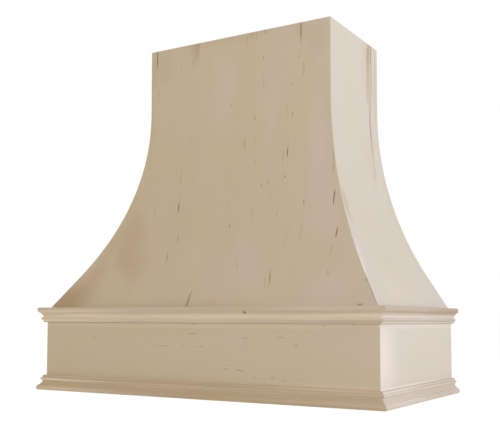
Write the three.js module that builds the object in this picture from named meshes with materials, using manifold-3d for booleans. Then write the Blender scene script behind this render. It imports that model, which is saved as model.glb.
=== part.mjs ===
// A wooden range hood cover. A straight neck flares outward on its front and on both sides, down to an
// upright band with a moulding round its top and its foot. It is a hollow shell on a frame of curved ribs,
// open above and below, and it hangs on the wall over a ventilator insert.
// Millimetres. +X is the cover's right as seen from the room, -Y is the room, +Z is up. The origin lies on
// the plane of the underside, below the middle of the outline.

import * as THREE from "three";
import { mergeVertices } from "three/addons/utils/BufferGeometryUtils.js";
import Module from "manifold-3d";

const wasm = await Module();
wasm.setup();

const INCH = 25.4;

// Overall sizes
const overallHeight = 36 * INCH;
const neckWidth = 21 * INCH;
const neckDepth = 12 * INCH;
const bandWidth = 36 * INCH;
const bandDepth = 19.5 * INCH;
const bandHeight = 8.25 * INCH;

// The flare: a straight neck, an arc that leaves it smoothly, and a straight run down to the foot
const neckHeight = 174;
const footRun = 100;
const footInset = 4.2;
const arcSteps = 18;

// The moulding: a round nose that slants back to a step, a cove that turns smoothly into a bead, and a flat
// fillet. Reaches are measured out from the band's face, heights from the moulding's wide edge. The slant's
// control point lies `noseLean` and `noseTaper` inside the nose's square corner. `curveLead` is how far the
// curve runs on upright from the waist and to the bead's tip. The top run stands a little above the band.
const trimReach = 0.75 * INCH;
const trimHeight = 1.5 * INCH;
const trimRise = 0.125 * INCH;
const noseHeight = 14;
const noseRound = 6.4;
const noseTip = 6;
const noseLean = 1;
const noseTaper = 1.5;
const stepReach = 12.4;
const stepSlope = 0.8;
const waistReach = 7.2;
const waistHeight = 22.5;
const beadReach = 11.6;
const beadTip = 28.8;
const beadEnd = 32.6;
const curveLead = 1.8;
const filletReach = 7.3;
const filletEase = 0.8;
const trimCurveSteps = 4;

// Sheets, boards and rails
const skinThickness = 6;
const boardThickness = 0.75 * INCH;
const frameThickness = 18;
const ribDepth = 50;
const hipRibDepth = 60;
const frontRibSpacing = 300;
const shelfBackDepth = 60;
const hangingRailHeight = 90;
const ledgerHeight = 38;
const ledgerRise = 19;
const cornerBlockLeg = 50;

// Screws and screw holes
const frameScrewLength = 38;
const ledgerScrewLength = 32;
const shankRadius = 1.9;
const headRadius = 4.1;
const headHeight = 2.8;
const tipHeight = 4;
const ledgerScrewInset = 90;
const wallHoleRadius = 3;
const wallHoleInset = 45;
const wallHoleDrop = 18;
const roundSides = 12;

// Clearances
const fit = 0.3; // between a curved edge and the sheet that it carries, and round a screw
const mitreFit = 0.2; // taken off each side of a mitre, along the board

// Places that follow from the sizes
const wallY = (bandDepth + trimReach) / 2;
const neckFrontY = wallY - neckDepth;
const bandFrontY = wallY - bandDepth;
const neckHalf = neckWidth / 2;
const bandHalf = bandWidth / 2;
const flareTop = overallHeight - neckHeight;
const ribOuter = skinThickness + fit;
const ribInner = ribOuter + ribDepth;
const bandInnerX = bandHalf - boardThickness;
const bandInnerY = bandFrontY + boardThickness;
const shelfUnderside = bandHeight - frameThickness;
const topUnderside = overallHeight - frameThickness;
const ledgerTop = ledgerRise + ledgerHeight;

const sideFlare = flareCurve(bandHalf - neckHalf - footInset);
const frontFlare = flareCurve(neckFrontY - bandFrontY - footInset);

const maple = new THREE.MeshStandardMaterial({ color: 0xd6c4a6, roughness: 0.7, metalness: 0 });
const mapleVeneer = new THREE.MeshStandardMaterial({ color: 0xd9c8ab, roughness: 0.72, metalness: 0 });
const plywood = new THREE.MeshStandardMaterial({ color: 0xcdb48a, roughness: 0.8, metalness: 0 });
const softwood = new THREE.MeshStandardMaterial({ color: 0xdcc9a0, roughness: 0.8, metalness: 0 });
const zincSteel = new THREE.MeshStandardMaterial({ color: 0xb9b8b0, roughness: 0.4, metalness: 0.9 });

// The arc and the straight run that take a face `reach` outward between the neck and the band. The run lies
// along the arc's end tangent, which fixes the angle, and the angle fixes the radius.
function flareCurve(reach) {
  const drop = flareTop - bandHeight;
  const angle = 2 * Math.atan(reach / (drop + footRun));
  const radius = (drop - footRun * Math.cos(angle)) / Math.sin(angle);
  return { angle, radius };
}

// How far outside the neck's face the surface `behind` mm inside the flare's outer face lies at height z
function offsetAt(flare, z, behind) {
  const below = flareTop - z;
  if (below <= 0) return -behind;
  const radius = flare.radius + behind;
  const arcDrop = radius * Math.sin(flare.angle);
  if (below <= arcDrop) return flare.radius - Math.sqrt(radius * radius - below * below);
  const arcReach = flare.radius - radius * Math.cos(flare.angle);
  return arcReach + (below - arcDrop) * Math.tan(flare.angle);
}

const sideX = (z, behind) => neckHalf + offsetAt(sideFlare, z, behind);
const frontY = (z, behind) => neckFrontY - offsetAt(frontFlare, z, behind);

// Heights from the foot of the flare up to `top`, close enough together for the arc
function heightsTo(top) {
  const steps = Array.from({ length: arcSteps + 1 }, (_, i) => i / arcSteps);
  const heights = steps.map((share) => bandHeight + share * (flareTop - bandHeight));
  return [...heights, top];
}

// A solid through horizontal rings of [x, y] points, one ring to a height. Rings are convex and run
// counter-clockwise seen from above.
function loft(heights, ringAt) {
  const points = heights.flatMap((z) => ringAt(z).map(([x, y]) => [x, y, z]));
  const count = ringAt(heights[0]).length;
  const last = points.length - count;
  const faces = [];
  for (let level = 0; level < heights.length - 1; level += 1) {
    for (let i = 0; i < count; i += 1) {
      const a = level * count + i;
      const b = level * count + ((i + 1) % count);
      faces.push(a, b, b + count, a, b + count, a + count);
    }
  }
  for (let i = 1; i < count - 1; i += 1) {
    faces.push(0, i + 1, i);
    faces.push(last, last + i, last + i + 1);
  }
  const geometry = new THREE.BufferGeometry();
  geometry.setAttribute("position", new THREE.Float32BufferAttribute(points.flat(), 3));
  geometry.setIndex(faces);
  return flatShaded(geometry);
}

function flatShaded(geometry) {
  const faceted = geometry.toNonIndexed();
  faceted.computeVertexNormals();
  return faceted;
}

const mirrored = (ringAt) => (z) => ringAt(z).map(([x, y]) => [-x, y]).reverse();

// Runs an outline of (reach, height) along a path: place(reach, height, t) gives the point for t from 0 to 1
function run(outline, place) {
  const settings = { depth: 1, bevelEnabled: false, curveSegments: trimCurveSteps };
  const geometry = new THREE.ExtrudeGeometry(outline, settings);
  const position = geometry.getAttribute("position");
  for (let i = 0; i < position.count; i += 1) {
    position.setXYZ(i, ...place(position.getX(i), position.getY(i), position.getZ(i)));
  }
  geometry.deleteAttribute("uv");
  geometry.computeVertexNormals();
  return geometry;
}

// The three runs round the band: the front, mitred at both ends, and the sides, mitred at the front only
const mix = (a, b, t) => a + (b - a) * t;

function frontRun(outline) {
  const half = (reach) => bandHalf + reach - mitreFit;
  return run(outline, (reach, z, t) => [mix(half(reach), -half(reach), t), bandFrontY - reach, z]);
}

function rightRun(outline) {
  const mitre = (reach) => bandFrontY - reach + mitreFit;
  return run(outline, (reach, z, t) => [bandHalf + reach, mix(wallY, mitre(reach), t), z]);
}

function leftRun(outline) {
  const mitre = (reach) => bandFrontY - reach + mitreFit;
  return run(outline, (reach, z, t) => [-bandHalf - reach, mix(mitre(reach), wallY, t), z]);
}

function bandOutline() {
  const outline = new THREE.Shape();
  outline.moveTo(-boardThickness, 0);
  outline.lineTo(0, 0);
  outline.lineTo(0, bandHeight);
  outline.lineTo(-boardThickness, bandHeight);
  return outline;
}

// The moulding's outline. `z` turns a height above the wide edge into a height on the cover.
function trimOutline(z) {
  const turnReach = (waistReach + beadReach) / 2;
  const turnHeight = (waistHeight + beadTip) / 2;
  const outline = new THREE.Shape();
  outline.moveTo(0, z(0));
  outline.lineTo(trimReach - noseRound, z(0));
  outline.quadraticCurveTo(trimReach, z(0), trimReach, z(noseTip));
  outline.quadraticCurveTo(
    trimReach - noseLean, z(noseHeight - noseTaper), trimReach - noseRound, z(noseHeight));
  outline.lineTo(stepReach, z(noseHeight + stepSlope));
  outline.quadraticCurveTo(waistReach, z(waistHeight - curveLead), waistReach, z(waistHeight));
  outline.quadraticCurveTo(waistReach, z(waistHeight + curveLead), turnReach, z(turnHeight));
  outline.quadraticCurveTo(beadReach, z(beadTip - curveLead), beadReach, z(beadTip));
  outline.quadraticCurveTo(beadReach, z(beadEnd), filletReach, z(beadEnd));
  outline.lineTo(filletReach, z(trimHeight - filletEase));
  outline.lineTo(filletReach - filletEase, z(trimHeight));
  outline.lineTo(0, z(trimHeight));
  return outline;
}

// The three flared sheets, mitred to each other along the hips
function frontSkinRing(z) {
  const outerX = sideX(z, 0) - mitreFit;
  const innerX = sideX(z, skinThickness) - mitreFit;
  const outerY = frontY(z, 0);
  const innerY = frontY(z, skinThickness);
  return [[-outerX, outerY], [outerX, outerY], [innerX, innerY], [-innerX, innerY]];
}

function rightSkinRing(z) {
  const outerX = sideX(z, 0);
  const innerX = sideX(z, skinThickness);
  const outerY = frontY(z, 0) + mitreFit;
  const innerY = frontY(z, skinThickness) + mitreFit;
  return [[outerX, outerY], [outerX, wallY], [innerX, wallY], [innerX, innerY]];
}

// Ribs. A side rib stands in an upright plane across the side sheet, from y low to y high.
const sideRibRing = (low, high) => (z) => {
  const outerX = sideX(z, ribOuter);
  const innerX = sideX(z, ribInner);
  return [[innerX, low], [outerX, low], [outerX, high], [innerX, high]];
};

const frontRibRing = (middleX) => (z) => {
  const outerY = frontY(z, ribOuter);
  const innerY = frontY(z, ribInner);
  const left = middleX - frameThickness / 2;
  const right = middleX + frameThickness / 2;
  return [[left, outerY], [right, outerY], [right, innerY], [left, innerY]];
};

// The right hip rib stands diagonally behind the mitre, with its outer edge bevelled to both sheets
function hipRibRing(z) {
  const cornerX = sideX(z, ribOuter);
  const cornerY = frontY(z, ribOuter);
  const bevel = frameThickness / Math.SQRT2;
  const inward = hipRibDepth / Math.SQRT2;
  return [
    [cornerX, cornerY],
    [cornerX, cornerY + bevel],
    [cornerX - inward, cornerY + bevel + inward],
    [cornerX - bevel - inward, cornerY + inward],
    [cornerX - bevel, cornerY],
  ];
}

const sideRibMiddleY = wallY - neckDepth / 2;
const backRing = sideRibRing(wallY - frameThickness, wallY);
const middleRing = sideRibRing(sideRibMiddleY - frameThickness / 2, sideRibMiddleY + frameThickness / 2);

// A left and a right rib of one kind, each with the rails that its foot and its top are screwed to
function ribPair(kind, rightRing, railOn) {
  return ["left", "right"].map((side) => ({
    name: `${kind}_rib_${side}`,
    ringAt: side === "left" ? mirrored(rightRing) : rightRing,
    shelf: `shelf_rail_${railOn(side)}`,
    top: `top_rail_${railOn(side)}`,
  }));
}

const ribs = [
  ...ribPair("hip", hipRibRing, () => "front"),
  ...ribPair("front", frontRibRing(frontRibSpacing / 2), () => "front"),
  ...ribPair("side", middleRing, (side) => side),
  ...ribPair("back", backRing, (side) => side),
];

// A board with square edges between two opposite corners. The faces take the corners' own values, so that
// boards which share one touch without a gap.
function board(low, high) {
  const geometry = new THREE.BoxGeometry(1, 1, 1);
  const position = geometry.getAttribute("position");
  for (let i = 0; i < position.count; i += 1) {
    const unit = [position.getX(i), position.getY(i), position.getZ(i)];
    position.setXYZ(i, ...unit.map((value, axis) => (value < 0 ? low[axis] : high[axis])));
  }
  return geometry;
}

// A screw whose head lies flush at the origin and whose shank points down -Z. `slack` widens it into its
// hole, which also runs past the head and the tip.
function screwGeometry(length, slack) {
  const past = slack > 0 ? 1 : 0;
  const profile = [
    new THREE.Vector2(0, -length - past),
    new THREE.Vector2(shankRadius + slack, -length + tipHeight - past),
    new THREE.Vector2(shankRadius + slack, -headHeight - slack),
    new THREE.Vector2(headRadius + slack, -slack),
  ];
  if (past) profile.push(new THREE.Vector2(headRadius + slack, past));
  profile.push(new THREE.Vector2(0, past));
  return new THREE.LatheGeometry(profile, roundSides).rotateX(Math.PI / 2);
}

// The middle of a rib at height z
function middleOf(ringAt, z) {
  const ring = ringAt(z);
  const total = ring.reduce(([x, y], [px, py]) => [x + px, y + py], [0, 0]);
  return [total[0] / ring.length, total[1] / ring.length];
}

// Every screw: its name, the place of its head, the turn that points it, its length and what it joins.
// A foot screw stands under the rib's middle at half its depth in the leaning wood.
function footScrew(rib) {
  const bite = frameScrewLength - frameThickness;
  const [x, y] = middleOf(rib.ringAt, bandHeight + bite / 2);
  return {
    name: rib.name.replace("rib", "foot_screw"),
    at: [x, y, shelfUnderside],
    turn: [Math.PI, 0, 0],
    length: frameScrewLength,
    joins: [rib.shelf, rib.name],
  };
}

function topScrew(rib) {
  const [x, y] = middleOf(rib.ringAt, topUnderside);
  return {
    name: rib.name.replace("rib", "top_screw"),
    at: [x, y, overallHeight],
    turn: [0, 0, 0],
    length: frameScrewLength,
    joins: [rib.top, rib.name],
  };
}

const ledgerInnerX = bandInnerX - boardThickness;
const ledgerFrontY = bandInnerY + boardThickness;
const ledgerBackY = wallY - 2 * boardThickness;
const ledgerSpread = bandInnerX - ledgerScrewInset;

function ledgerScrews() {
  const z = ledgerRise + ledgerHeight / 2;
  const quarter = Math.PI / 2;
  const screw = (side, end, at, turn, behind) => ({
    name: `ledger_screw_${side}_${end}`,
    at,
    turn,
    length: ledgerScrewLength,
    joins: [`insert_ledger_${side}`, behind],
  });
  const frontEnd = ledgerFrontY + ledgerScrewInset;
  const backEnd = ledgerBackY - ledgerScrewInset;
  return [
    screw("front", "1", [-ledgerSpread, ledgerFrontY, z], [-quarter, 0, 0], "band_front_board"),
    screw("front", "2", [ledgerSpread, ledgerFrontY, z], [-quarter, 0, 0], "band_front_board"),
    screw("back", "1", [-ledgerSpread, ledgerBackY, z], [quarter, 0, 0], "lower_hanging_rail"),
    screw("back", "2", [ledgerSpread, ledgerBackY, z], [quarter, 0, 0], "lower_hanging_rail"),
    screw("left", "1", [-ledgerInnerX, frontEnd, z], [0, quarter, 0], "band_left_board"),
    screw("left", "2", [-ledgerInnerX, backEnd, z], [0, quarter, 0], "band_left_board"),
    screw("right", "1", [ledgerInnerX, frontEnd, z], [0, -quarter, 0], "band_right_board"),
    screw("right", "2", [ledgerInnerX, backEnd, z], [0, -quarter, 0], "band_right_board"),
  ];
}

const screws = [...ribs.map(footScrew), ...ribs.map(topScrew), ...ledgerScrews()];

// Cutting with manifold-3d
function solidOf(geometry) {
  const bare = new THREE.BufferGeometry();
  const loose = geometry.index ? geometry.toNonIndexed() : geometry;
  bare.setAttribute("position", loose.getAttribute("position"));
  const merged = mergeVertices(bare, 1e-4);
  const vertProperties = merged.getAttribute("position").array;
  const triVerts = new Uint32Array(merged.index.array);
  return new wasm.Manifold(new wasm.Mesh({ numProp: 3, vertProperties, triVerts }));
}

function geometryOf(solid) {
  const mesh = solid.getMesh();
  const geometry = new THREE.BufferGeometry();
  geometry.setAttribute("position", new THREE.BufferAttribute(mesh.vertProperties, 3));
  geometry.setIndex(new THREE.BufferAttribute(mesh.triVerts, 1));
  return flatShaded(geometry);
}

function placed(geometry, at, turn) {
  const rotation = new THREE.Quaternion().setFromEuler(new THREE.Euler(...turn));
  const one = new THREE.Vector3(1, 1, 1);
  return geometry.applyMatrix4(new THREE.Matrix4().compose(new THREE.Vector3(...at), rotation, one));
}

// The holes for the screws in the piece called `name`
function screwHoles(name) {
  const through = screws.filter((screw) => screw.joins.includes(name));
  return through.map((screw) => placed(screwGeometry(screw.length, fit), screw.at, screw.turn));
}

// Two holes through an upright rail at the wall, for the screws that hang the cover
function wallHoles(halfWidth, z) {
  const length = 3 * boardThickness;
  return [-1, 1].map((side) =>
    new THREE.CylinderGeometry(wallHoleRadius, wallHoleRadius, length, roundSides)
      .translate(side * (halfWidth - wallHoleInset), wallY, z));
}

function drilled(name, geometry, moreHoles = []) {
  const holes = [...screwHoles(name), ...moreHoles];
  if (!holes.length) return geometry;
  return geometryOf(holes.reduce((solid, hole) => solid.subtract(solidOf(hole)), solidOf(geometry)));
}

const cover = new THREE.Group();

function group(parent = cover) {
  const made = new THREE.Group();
  parent.add(made);
  return made;
}

function add(parent, name, geometry, material) {
  const mesh = new THREE.Mesh(geometry, material);
  mesh.name = name;
  parent.add(mesh);
  return mesh;
}

function buildSkins() {
  const skins = group();
  const heights = heightsTo(overallHeight);
  add(skins, "front_skin", loft(heights, frontSkinRing), mapleVeneer);
  add(skins, "left_side_skin", loft(heights, mirrored(rightSkinRing)), mapleVeneer);
  add(skins, "right_side_skin", loft(heights, rightSkinRing), mapleVeneer);
}

function buildBand() {
  const band = group();
  const runs = { front: frontRun, left: leftRun, right: rightRun };
  for (const [side, sideRun] of Object.entries(runs)) {
    const name = `band_${side}_board`;
    add(band, name, drilled(name, sideRun(bandOutline())), maple);
    add(band, `top_trim_${side}`, sideRun(trimOutline((height) => bandHeight + trimRise - height)), maple);
    add(band, `bottom_trim_${side}`, sideRun(trimOutline((height) => height)), maple);
  }
}

function buildRibs() {
  const frame = group();
  const heights = heightsTo(topUnderside);
  for (const rib of ribs) {
    add(frame, rib.name, drilled(rib.name, loft(heights, rib.ringAt)), plywood);
  }
}

// The flat ring round the open top, with the hanging rail across its back
function buildTopRing() {
  const ring = group();
  const outerX = neckHalf - skinThickness;
  const innerX = neckHalf - ribInner;
  const outerY = neckFrontY + skinThickness;
  const innerY = neckFrontY + ribInner;
  const z = [topUnderside, overallHeight];
  const rails = {
    top_rail_front: board([-outerX, outerY, z[0]], [outerX, innerY, z[1]]),
    top_rail_left: board([-outerX, innerY, z[0]], [-innerX, wallY, z[1]]),
    top_rail_right: board([innerX, innerY, z[0]], [outerX, wallY, z[1]]),
  };
  for (const [name, rail] of Object.entries(rails)) add(ring, name, drilled(name, rail), plywood);
  const railLow = [-innerX, wallY - frameThickness, overallHeight - hangingRailHeight];
  const rail = board(railLow, [innerX, wallY, overallHeight]);
  const holes = wallHoles(innerX, overallHeight - wallHoleDrop);
  add(ring, "upper_hanging_rail", drilled("upper_hanging_rail", rail, holes), plywood);
}

// The flat ring inside the band's top edge, which the ribs stand on
function buildShelfRing() {
  const ring = group();
  const innerX = sideX(bandHeight, ribInner);
  const innerY = frontY(bandHeight, ribInner);
  const z = [shelfUnderside, bandHeight];
  const rails = {
    shelf_rail_front: board([-bandInnerX, bandInnerY, z[0]], [bandInnerX, innerY, z[1]]),
    shelf_rail_left: board([-bandInnerX, innerY, z[0]], [-innerX, wallY, z[1]]),
    shelf_rail_right: board([innerX, innerY, z[0]], [bandInnerX, wallY, z[1]]),
    shelf_rail_back: board([-innerX, wallY - shelfBackDepth, z[0]], [innerX, wallY, z[1]]),
  };
  for (const [name, rail] of Object.entries(rails)) add(ring, name, drilled(name, rail), plywood);
}

// The strips that the insert's flange is screwed to, and the rail across the band's back
function buildInsertSupport() {
  const support = group();
  const z = [ledgerRise, ledgerTop];
  const ledgers = {
    insert_ledger_front: board([-bandInnerX, bandInnerY, z[0]], [bandInnerX, ledgerFrontY, z[1]]),
    insert_ledger_left: board([-bandInnerX, ledgerFrontY, z[0]], [-ledgerInnerX, ledgerBackY, z[1]]),
    insert_ledger_right: board([ledgerInnerX, ledgerFrontY, z[0]], [bandInnerX, ledgerBackY, z[1]]),
    insert_ledger_back: board([-bandInnerX, ledgerBackY, z[0]], [bandInnerX, wallY - boardThickness, z[1]]),
  };
  for (const [name, ledger] of Object.entries(ledgers)) add(support, name, drilled(name, ledger), softwood);
  const rail = board([-bandInnerX, wallY - boardThickness, 0], [bandInnerX, wallY, hangingRailHeight]);
  const holes = wallHoles(bandInnerX, hangingRailHeight - wallHoleDrop);
  add(support, "lower_hanging_rail", drilled("lower_hanging_rail", rail, holes), plywood);
}

// Three-cornered glue blocks in the band's front corners, between the ledgers and the shelf ring
function buildCornerBlocks() {
  const blocks = group();
  for (const [side, sign] of [["left", -1], ["right", 1]]) {
    const outline = new THREE.Shape();
    outline.moveTo(sign * bandInnerX, bandInnerY);
    outline.lineTo(sign * (bandInnerX - cornerBlockLeg), bandInnerY);
    outline.lineTo(sign * bandInnerX, bandInnerY + cornerBlockLeg);
    const settings = { depth: shelfUnderside - ledgerTop, bevelEnabled: false };
    const block = add(blocks, `corner_block_${side}`, new THREE.ExtrudeGeometry(outline, settings), softwood);
    block.position.z = ledgerTop;
  }
}

function buildScrews() {
  const fasteners = group();
  for (const screw of screws) {
    const mesh = add(fasteners, screw.name, screwGeometry(screw.length, 0), zincSteel);
    mesh.position.set(...screw.at);
    mesh.rotation.set(...screw.turn);
  }
}

buildSkins();
buildBand();
buildRibs();
buildTopRing();
buildShelfRing();
buildInsertSupport();
buildCornerBlocks();
buildScrews();

export default cover;
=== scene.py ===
# The looks of a wooden range hood cover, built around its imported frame. Metres, +Z up, -Y towards the room.
# Every piece but the zinc screws is bare maple, plywood or pine, and carries a "wood" attribute that its
# grain follows: (across the grain, through the board, along the grain), in metres.

import math
import random

import bmesh
import bpy
import numpy as np
from mathutils import Matrix, Vector


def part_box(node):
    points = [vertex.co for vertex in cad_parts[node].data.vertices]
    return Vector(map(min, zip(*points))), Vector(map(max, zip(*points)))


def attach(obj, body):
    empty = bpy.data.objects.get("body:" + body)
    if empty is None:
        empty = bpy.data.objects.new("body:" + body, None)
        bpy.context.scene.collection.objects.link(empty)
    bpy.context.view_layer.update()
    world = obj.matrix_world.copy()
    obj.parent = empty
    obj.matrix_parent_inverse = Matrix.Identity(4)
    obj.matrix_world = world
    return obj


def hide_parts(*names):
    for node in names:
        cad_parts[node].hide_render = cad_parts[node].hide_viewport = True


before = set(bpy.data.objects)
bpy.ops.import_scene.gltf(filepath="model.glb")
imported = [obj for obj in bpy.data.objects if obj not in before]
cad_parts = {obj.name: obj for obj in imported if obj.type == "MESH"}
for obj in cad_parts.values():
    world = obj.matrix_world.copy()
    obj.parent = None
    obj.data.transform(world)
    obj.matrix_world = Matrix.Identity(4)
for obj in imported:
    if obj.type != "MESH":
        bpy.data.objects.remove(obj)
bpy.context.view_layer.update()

MM = 0.001
BODY = "root"
random.seed(7)

# ---------------------------------------------------------------- sizes

skin_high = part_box("front_skin")[1]
side_low, side_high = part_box("right_side_skin")
board_low, board_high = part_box("band_front_board")
board_side_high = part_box("band_right_board")[1]
trim_low, trim_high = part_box("bottom_trim_front")
top_trim_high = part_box("top_trim_front")[1]

SKIN = 6 * MM
PLY = 18 * MM
BOARD = board_high.y - board_low.y
TOP = skin_high.z
BAND_HEIGHT = board_high.z
WALL_Y = side_high.y
NECK_HALF = side_low.x + SKIN
NECK_FRONT_Y = skin_high.y - SKIN
BAND_HALF = board_side_high.x
BAND_FRONT_Y = board_low.y
TRIM_REACH = BAND_FRONT_Y - trim_low.y
TRIM_HEIGHT = trim_high.z
TRIM_TOP = top_trim_high.z

# The flare is an arc that leaves the neck smoothly, and a straight run along the arc's end tangent
NECK_HEIGHT = 174 * MM
FOOT_RUN = 100 * MM
FLARE_TOP = TOP - NECK_HEIGHT
FLARE_REACH = side_high.x - NECK_HALF
FLARE_DROP = FLARE_TOP - BAND_HEIGHT
FLARE_ANGLE = 2 * math.atan(FLARE_REACH / (FLARE_DROP + FOOT_RUN))
FLARE_RADIUS = (FLARE_DROP - FOOT_RUN * math.cos(FLARE_ANGLE)) / math.sin(FLARE_ANGLE)
ARC_DROP = FLARE_RADIUS * math.sin(FLARE_ANGLE)
FLARE_STEPS = 72

# Edges
CORNER_STEPS = 4
SEAM = 0.05 * MM
SKIN_CORNER = 1.2 * MM
BAND_CORNER = 1.2 * MM
TRIM_CORNER = 0.8 * MM
SHEET_EASE = 0.4 * MM
BOARD_EASE = 0.8 * MM
FRAME_EASE = 0.7 * MM


def flare_offset(z, behind):
    """How far outside the neck's face the surface `behind` the flare's outer face lies at height z."""
    below = FLARE_TOP - z
    if below <= 0:
        return -behind
    radius = FLARE_RADIUS + behind
    arc_drop = radius * math.sin(FLARE_ANGLE)
    if below <= arc_drop:
        return FLARE_RADIUS - math.sqrt(radius**2 - below**2)
    arc_reach = FLARE_RADIUS - radius * math.cos(FLARE_ANGLE)
    return arc_reach + (below - arc_drop) * math.tan(FLARE_ANGLE)


def length_down(z):
    """The length down the flare's outer face from its top edge to height z."""
    below = FLARE_TOP - z
    if below <= 0:
        return TOP - z
    if below <= ARC_DROP:
        return NECK_HEIGHT + FLARE_RADIUS * math.asin(below / FLARE_RADIUS)
    arc_length = FLARE_RADIUS * FLARE_ANGLE
    return NECK_HEIGHT + arc_length + (below - ARC_DROP) / math.cos(FLARE_ANGLE)


# ---------------------------------------------------------------- camera, stage and light

CAMERA_PLACE = (1.0794, -1.8673, 0.1818)
CAMERA_YAW = 0.56116
CAMERA_PITCH = 0.07033
CAMERA_ROLL = 0.00335
CAMERA_LENS = 60.236
CAMERA_SHIFT = (0.0732, 0.0930)


def make_camera():
    camera = bpy.data.objects.new("camera", bpy.data.cameras.new("camera"))
    bpy.context.scene.collection.objects.link(camera)
    turn = Matrix.Rotation(CAMERA_YAW, 4, "Z")
    tilt = Matrix.Rotation(math.pi / 2 + CAMERA_PITCH, 4, "X")
    roll = Matrix.Rotation(CAMERA_ROLL, 4, "Z")
    camera.matrix_world = Matrix.Translation(CAMERA_PLACE) @ turn @ tilt @ roll
    camera.data.lens = CAMERA_LENS
    camera.data.shift_x, camera.data.shift_y = CAMERA_SHIFT
    bpy.context.scene.camera = camera


class Nodes:
    """A node tree with short ways to add each kind of node. All but `node` give an output socket."""

    def __init__(self, tree):
        self.tree = tree

    def node(self, kind, inputs=None, **settings):
        made = self.tree.nodes.new(kind)
        for name, value in settings.items():
            setattr(made, name, value)
        for key, value in (inputs or {}).items():
            if isinstance(value, bpy.types.NodeSocket):
                self.tree.links.new(value, made.inputs[key])
            else:
                made.inputs[key].default_value = value
        return made

    def add(self, kind, inputs=None, output=0, **settings):
        return self.node(kind, inputs, **settings).outputs[output]

    def math(self, operation, first, second=0.0):
        return self.add("ShaderNodeMath", {0: first, 1: second}, operation=operation)

    def times(self, first, second):
        return self.math("MULTIPLY", first, second)

    def length(self, vector):
        return self.add("ShaderNodeVectorMath", {0: vector}, output="Value", operation="LENGTH")

    def scaled(self, vector, scale):
        return self.add("ShaderNodeVectorMath", {0: vector, 1: scale}, operation="MULTIPLY")

    def moved(self, vector, by):
        return self.add("ShaderNodeVectorMath", {0: vector, 1: by}, operation="ADD")

    def mapped(self, value, low, high, to_low=0.0, to_high=1.0):
        inputs = {0: value, 1: low, 2: high, 3: to_low, 4: to_high}
        return self.add("ShaderNodeMapRange", inputs, interpolation_type="SMOOTHSTEP")

    def mix(self, factor, first, second, blend="MIX"):
        inputs = {0: factor, 6: first, 7: second}
        return self.add("ShaderNodeMix", inputs, output=2, data_type="RGBA", blend_type=blend)

    def shaded(self, colour, shade):
        """The colour times one number."""
        return self.mix(1.0, colour, self.join(shade, shade, shade), blend="MULTIPLY")

    def noise(self, vector, cells, roughness, detail=2.0):
        """Noise from 0 to 1 with so many cells a metre along each axis."""
        inputs = {"Vector": self.scaled(vector, cells), "Scale": 1.0}
        inputs |= {"Roughness": roughness, "Detail": detail}
        return self.add("ShaderNodeTexNoise", inputs)

    def join(self, x, y, z=0.0):
        return self.add("ShaderNodeCombineXYZ", {0: x, 1: y, 2: z})


def new_material(name):
    material = bpy.data.materials.new(name)
    material.use_nodes = True
    material.node_tree.nodes.clear()
    return material, Nodes(material.node_tree)


def seen_directly(nodes):
    """1 for rays from the camera, straight or by way of a mirror or glass, and 0 for lighting rays."""
    path = nodes.node("ShaderNodeLightPath").outputs
    either = nodes.math("MAXIMUM", path["Is Camera Ray"], path["Is Glossy Ray"])
    return nodes.math("MAXIMUM", either, path["Is Transmission Ray"])


FLOOR_HALF = 40.0
FLOOR_GLOW = 0.93
FLOOR_SHADE = (0.16, 0.16, 0.16, 1)
FLOOR_COLOUR = (0.50, 0.50, 0.50, 1)
FLOOR_BOUNCE = 0.475


def make_floor():
    """A white floor that still holds the object's shadow, and that lights the object softly from below."""
    corners = [(-1, -1), (1, -1), (1, 1), (-1, 1)]
    mesh = bpy.data.meshes.new("floor")
    mesh.from_pydata([(x * FLOOR_HALF, y * FLOOR_HALF, 0) for x, y in corners], [], [(0, 1, 2, 3)])
    floor = bpy.data.objects.new("floor", mesh)
    bpy.context.scene.collection.objects.link(floor)
    material, nodes = new_material("floor")
    glow = nodes.add("ShaderNodeEmission", {"Strength": FLOOR_GLOW})
    shade = nodes.add("ShaderNodeBsdfDiffuse", {"Color": FLOOR_SHADE})
    shown = nodes.add("ShaderNodeAddShader", {0: glow, 1: shade})
    lit = nodes.add("ShaderNodeBsdfDiffuse", {"Color": FLOOR_COLOUR})
    table = nodes.add("ShaderNodeEmission", {"Strength": FLOOR_BOUNCE})
    bounced = nodes.add("ShaderNodeAddShader", {0: lit, 1: table})
    both = nodes.add("ShaderNodeMixShader", {0: seen_directly(nodes), 1: bounced, 2: shown})
    nodes.node("ShaderNodeOutputMaterial", {0: both})
    floor.data.materials.append(material)


WORLD_LEVEL = (0.315, 0.315, 0.300, 1)
WORLD_CEILING = (0.620, 0.555, 0.500, 1)
# The sines of the elevations that the light grows stronger between
WORLD_RISE = (0.0, 0.9)


def make_world():
    """White where it's seen, and a plain soft light, stronger from above, where it lights the object."""
    world = bpy.data.worlds.new("studio")
    bpy.context.scene.world = world
    world.use_nodes = True
    world.node_tree.nodes.clear()
    nodes = Nodes(world.node_tree)
    direction = nodes.add("ShaderNodeTexCoord", output="Generated")
    up = nodes.add("ShaderNodeSeparateXYZ", {0: direction}, output=2)
    tone = nodes.mix(nodes.mapped(up, *WORLD_RISE), WORLD_LEVEL, WORLD_CEILING)
    light = nodes.add("ShaderNodeBackground", {0: tone})
    white = nodes.add("ShaderNodeBackground", {0: (1, 1, 1, 1)})
    both = nodes.add("ShaderNodeMixShader", {0: seen_directly(nodes), 1: light, 2: white})
    nodes.node("ShaderNodeOutputWorld", {0: both})


LAMP_AIM = Vector((0, 0, 0.45))
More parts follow.
